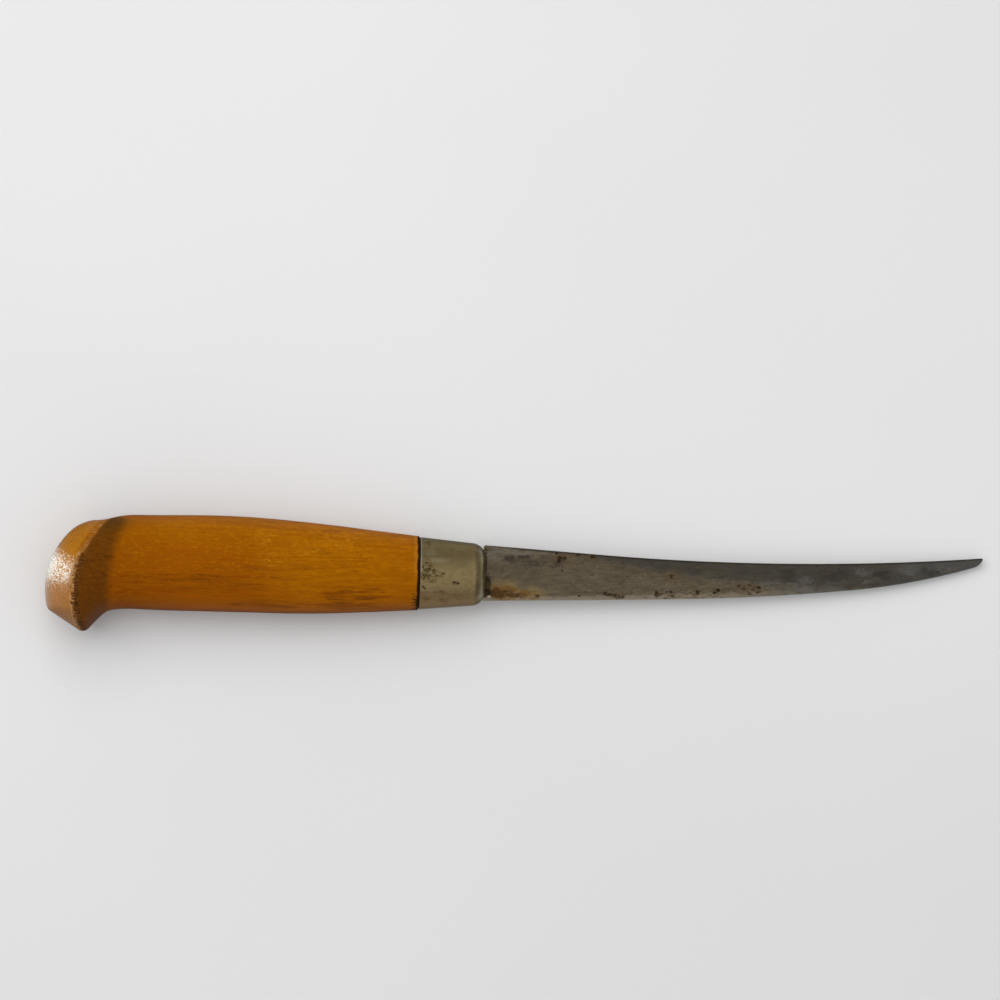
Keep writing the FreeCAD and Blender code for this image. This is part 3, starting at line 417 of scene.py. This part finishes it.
def stained_carbon_steel():
    # Carbon steel, ground lengthwise and long in use: brown-grey stain over the flats, a dark oxide along
    # the spine side, rust at the heel and pits in a row above the edge.
    material, tree, shader = new_finish("stained_carbon_steel")
    place = knife_place(tree)
    x, y, z = add(tree, "SeparateXYZ", {0: place}).outputs
    torn = ragged(tree, place, 2.2, 1.1)
    frayed_y = add(tree, "SeparateXYZ", {0: ragged(tree, torn, 7, 1.6)}).outputs[1]
    nibbled = ragged(tree, place, 0.9, 0.5)
    drifted = ragged(tree, place, 3.5, 2.0)
    upper = where(tree, (z, -0.4, 0.4))
    spine_off = past_line(tree, x, y, SPINE_LINE)
    edge_off = past_line(tree, x, y, EDGE_LINE)

    # Stain, greyer towards the tip, with streaks along the grind.
    towards_tip = where(tree, (x, 68, 100), 0.85)
    near_tip = where(tree, (x, 118, 146), 0.8)
    stain = cloudy(tree, torn, (5, 1.6, 1.6), 0.4, 0.62, 0.6)
    pale = cloudy(tree, ragged(tree, place, 5, 1.5), (4, 1.1, 1.1), 0.52, 0.68, 0.6)
    mottle = cloudy(tree, torn, (1.6, 0.6, 0.6), 0.45, 0.66, 0.35)
    dark_streaks = where(tree, cloudy(tree, torn, (4.5, 0.7, 0.7), 0.47, 0.64, 0.42), (x, -10, 40))
    low_flat = where(tree, (x, 22, 38), (x, 122, 98), (y, -8, -6), (y, 4, -2))
    # Painted glints: short pale streaks along the grind on the lower flat.
    painted_glints = cloudy(tree, ragged(tree, place, 2.5, 0.8), (2.6, 0.5, 0.5), 0.50, 0.64, 0.55,
                          zone=low_flat)
    # Grinding scratches; the real ones are a few hundredths wide and are drawn 0.35 mm wide to show.
    scratches = cloudy(tree, place, (24, 0.35, 0.35), 0.44, 0.66, 0.28)
    oxide = where(tree, (past_line(tree, x, frayed_y, OXIDE_LINE), -1.8, 1.8), 0.9)
    clouds = cloudy(tree, torn, (4, 1.8, 1.8), 0.34, 0.6, 0.8, zone=marks(tree, drifted, CLOUDS))
    smudges = where(tree, cloudy(tree, torn, (2.6, 1.6, 1.6), 0.34, 0.6), marks(tree, torn, SMUDGES), 0.65)
    bright_back = cloudy(tree, torn, (5, 1, 1), 0.36, 0.56, 0.8, zone=marks(tree, place, BRIGHT_BACK))
    # Painted shade: a thin dark line along the spine.
    spine_shade = where(tree, (spine_off, -0.75, -0.25), (x, 4, 12), 0.75)
    honed = where(tree, (edge_off, 1.9, 1.1), (x, 108, 70), cloudy(tree, torn, (6, 0.8, 0.8), 0.3, 0.5), 0.9)

    halos = cloudy(tree, nibbled, (1.3, 0.8, 0.8), 0.38, 0.56, 0.7,
                   zone=where(tree, upper, marks(tree, place, HALOS)))
    brown_haze = cloudy(tree, torn, (2.2, 1.1, 1.1), 0.34, 0.62, 0.6,
                        zone=where(tree, upper, marks(tree, place, BROWN_HAZE)))
    over_edge = where(tree, (edge_off, 0.2, 0.9), (edge_off, 6.0, 2.5), (x, 28, 40), (x, 96, 84))
    fine_pits = cloudy(tree, torn, (0.9, 0.6, 0.6), 0.6, 0.68, 0.8, zone=over_edge)
    pits = cloudy(tree, nibbled, (0.55, 0.45, 0.45), 0.32, 0.49, 0.95,
                  zone=where(tree, upper, marks(tree, nibbled, PITS)))
    # Soil at the heel, with painted shadow of the ferrule's nose in it.
    heel_soil_and_shadow = cloudy(tree, nibbled, (0.8, 0.9, 0.9), 0.26, 0.56, 0.95,
                  zone=where(tree, upper, marks(tree, nibbled, HEEL_SOIL_AND_SHADOW)))
    haze = cloudy(tree, torn, (3, 1.4, 1.4), 0.1, 0.75,
                  zone=where(tree, upper, marks(tree, place, RUST_HAZE)))
    rust = cloudy(tree, nibbled, (2.4, 1.2, 1.2), 0.2, 0.62, 0.85,
                  zone=where(tree, upper, marks(tree, torn, RUST)))
    dark_rust = cloudy(tree, nibbled, (1.6, 1.0, 1.0), 0.18, 0.54, 0.85,
                       zone=where(tree, upper, marks(tree, nibbled, DARK_RUST)))
    pale_heel_spot = cloudy(tree, nibbled, (0.8, 0.8, 0.8), 0.36, 0.5, 0.9,
                     zone=where(tree, upper, marks(tree, nibbled, PALE_HEEL_SPOT)))

    dress(tree, shader, 0.06, dict(colour="#97886f", rough=0.4, metal=1.0, height=0.6), [
        (towards_tip, dict(colour="#918d88")),
        (stain, dict(colour="#80725b", rough=0.46)),
        (pale, dict(colour="#ab9d86")),
        (mottle, dict(colour="#6e6350", rough=0.46)),
        (oxide, dict(colour="#69645b", rough=0.42)),
        (dark_streaks, dict(colour="#544c3f", rough=0.46)),
        (painted_glints, dict(colour="#b0a089")),
        (near_tip, dict(colour="#7b7a78")),
        (clouds, dict(colour="#544f4a", rough=0.44)),
        (smudges, dict(colour="#908c86")),
        (bright_back, dict(colour="#a89d8c")),
        (scratches, dict(colour="#6a6152", height=0.5)),
        (honed, dict(colour="#c0b19b", rough=0.34)),
        (spine_shade, dict(colour="#47423b")),
        (haze, dict(colour="#8b784e", rough=0.55, metal=0.5)),
        (brown_haze, dict(colour="#6f5b3c", rough=0.5, metal=0.7)),
        (halos, dict(colour="#4e361c", rough=0.6, metal=0.25)),
        (rust, dict(colour="#69440b", rough=0.75, metal=0.05, height=0.75)),
        (dark_rust, dict(colour="#3c2207", rough=0.85, metal=0.0, height=0.95)),
        (fine_pits, dict(colour="#46371f", rough=0.7, metal=0.4, height=0.3)),
        (pits, dict(colour="#241709", rough=0.85, metal=0.1, height=0.0)),
        (heel_soil_and_shadow, dict(colour="#2c2410", rough=0.8, metal=0.1)),
        (pale_heel_spot, dict(colour="#bdb29e", rough=0.8, metal=0.0, height=0.9))])
    # Rust and soil have hardly any sheen of their own; the bare metal keeps its full one.
    shader.inputs["Specular IOR Level"].default_value = 0.15
    return material


def cutler_cement():
    # Cutler's cement, resin with brick dust: dull brown and grainy. It is hidden round the tang.
    material, tree, shader = new_finish("cutler_cement")
    dust = cloudy(tree, knife_place(tree), (0.6, 0.6, 0.6), 0.4, 0.65)
    dress(tree, shader, 0.1, dict(colour="#5a4030", rough=0.85, height=0.5), [
        (dust, dict(colour="#7a5a42", height=0.8))])
    return material


FINISHES = {"handle": varnished_birch, "ferrule": tarnished_nickel_silver, "blade": stained_carbon_steel,
            "tang_cement": cutler_cement}
for node, finish in FINISHES.items():
    material = finish()
    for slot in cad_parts[node].material_slots:
        slot.material = material


FLOOR_HALF = 4.0
FLOOR_CELLS = 8


def lay_floor():
    # Matt pale grey board, large enough to fill every view. The shine on the knife mirrors the room, not it.
    material, tree, shader = new_finish("matt_pale_board")
    spot = add(tree, "TexCoord", {}).outputs["Object"]
    fibre = cloudy(tree, spot, (0.5, 0.3, 0.3), 0.3, 0.7)
    dress(tree, shader, 0.01, dict(colour="#e6e6e6", rough=0.9, height=0.5), [
        (fibre, dict(colour="#e1e1e1"))])
    shader.inputs["Specular IOR Level"].default_value = 0.1
    mesh = bpy.data.meshes.new("floor")
    build = bmesh.new()
    bmesh.ops.create_grid(build, x_segments=FLOOR_CELLS, y_segments=FLOOR_CELLS, size=FLOOR_HALF)
    build.to_mesh(mesh)
    build.free()
    floor = bpy.data.objects.new("floor", mesh)
    bpy.context.scene.collection.objects.link(floor)
    mesh.materials.append(material)
    floor.visible_glossy = False


PANEL_POWER = 10.0
PANEL_AT = Vector((-0.45, 0.54, 1.05))
PANEL_SIZE = (1.5, 1.2)


def hang_panel():
    """Soft panel that faces the knife and leaves no highlight on it."""
    lamp = bpy.data.lights.new("overhead_panel", "AREA")
    lamp.energy = PANEL_POWER
    lamp.shape = "RECTANGLE"
    lamp.size, lamp.size_y = PANEL_SIZE
    panel = bpy.data.objects.new("overhead_panel", lamp)
    panel.location = PANEL_AT
    panel.rotation_euler = (-PANEL_AT).to_track_quat("-Z", "Y").to_euler()
    panel.visible_glossy = False
    bpy.context.scene.collection.objects.link(panel)


EVEN_LIGHT = (0.61, 0.61, 0.615, 1)
WINDOW_TINT = (0.74, 0.99, 1.08)
WINDOW_LOW, WINDOW_HIGH = 1.0, 16.0


def grey(level):
    return (level, level, level, 1)


def light_room():
    # Even light all round, and for the shine a dim room with one tall window beyond the butt.
    world = bpy.data.worlds.new("room")
    world.use_nodes = True
    bpy.context.scene.world = world
    tree = world.node_tree
    way = add(tree, "TexCoord", {}).outputs["Generated"]
    x, y, z = add(tree, "SeparateXYZ", {0: way}).outputs
    aside = add(tree, "Math", {0: y, 1: add(tree, "Math", {0: x}, operation="ABSOLUTE")}, operation="DIVIDE")
    butt_way = where(tree, (x, -0.1, -0.25))
    tip_way = where(tree, (x, 0.45, 0.75))
    window_tone = add(tree, "MapRange", {0: z, 1: -1.0, 2: 0.15, 3: WINDOW_LOW, 4: WINDOW_HIGH})
    window = add(tree, "VectorMath", {0: WINDOW_TINT, 3: window_tone}, operation="SCALE")
    light = grey(0.22)
    for mask, tone in (
            # Ceiling, the walls' foot and the ground.
            (where(tree, (z, 0.6, 0.9)), grey(0.36)),
            (where(tree, (z, 0.25, 0.0)), grey(0.28)),
            (where(tree, (z, -0.3, -0.8)), grey(0.2)),
            # A paler strip of the ceiling before the nose, and a dark wall beside the window.
            (where(tree, (x, 0.24, 0.34), (x, 0.6, 0.45), (z, 0.6, 0.8)), (0.44, 0.43, 0.42, 1)),
            (where(tree, butt_way, (aside, 0.5, 0.6), (z, 0.8, 0.6)), grey(0.06)),
            # Beyond the tip, a dim wall over cool light from below.
            (where(tree, tip_way, (z, 0.15, 0.35), (z, 0.85, 0.6)), (0.13, 0.14, 0.17, 1)),
            (where(tree, tip_way, (z, 0.0, -0.2)), (0.47, 0.64, 0.92, 1)),
            # Beyond the butt, a pale wall and the window.
            (where(tree, butt_way, (aside, 0.3, 0.0), (aside, -1.0, -0.2), (z, 0.7, 0.3)), grey(0.6)),
            (where(tree, butt_way, (aside, 0.50, 0.45), (aside, 0.04, 0.2), (z, 0.66, 0.52)), window)):
        light = add(tree, "Mix", {0: mask, 6: light, 7: tone}, data_type="RGBA").outputs[2]
    glossy = add(tree, "LightPath", {}).outputs["Is Glossy Ray"]
    light = add(tree, "Mix", {0: glossy, 6: EVEN_LIGHT, 7: light}, data_type="RGBA").outputs[2]
    tree.links.new(light, tree.nodes["Background"].inputs["Color"])


# The photo looks straight down, with the knife's axis dipping a little to the right.
PHOTO_WIDTH = 0.307
PHOTO_CENTRE = Vector((-4.95, 25.07, 6.0)) * MM
DIP = math.radians(1.4)
CAMERA_HEIGHT = 6.0
SENSOR_WIDTH = 36.0


def set_camera():
    data = bpy.data.cameras.new("camera")
    data.sensor_width = SENSOR_WIDTH
    data.lens = SENSOR_WIDTH * CAMERA_HEIGHT / PHOTO_WIDTH
    camera = bpy.data.objects.new("camera", data)
    camera.location = PHOTO_CENTRE + Vector((0, 0, CAMERA_HEIGHT))
    camera.rotation_euler = (0, 0, DIP)
    bpy.context.scene.collection.objects.link(camera)
    bpy.context.scene.camera = camera


lay_floor()
light_room()
hang_panel()
set_camera()
bpy.context.scene.view_settings.view_transform = "Standard"
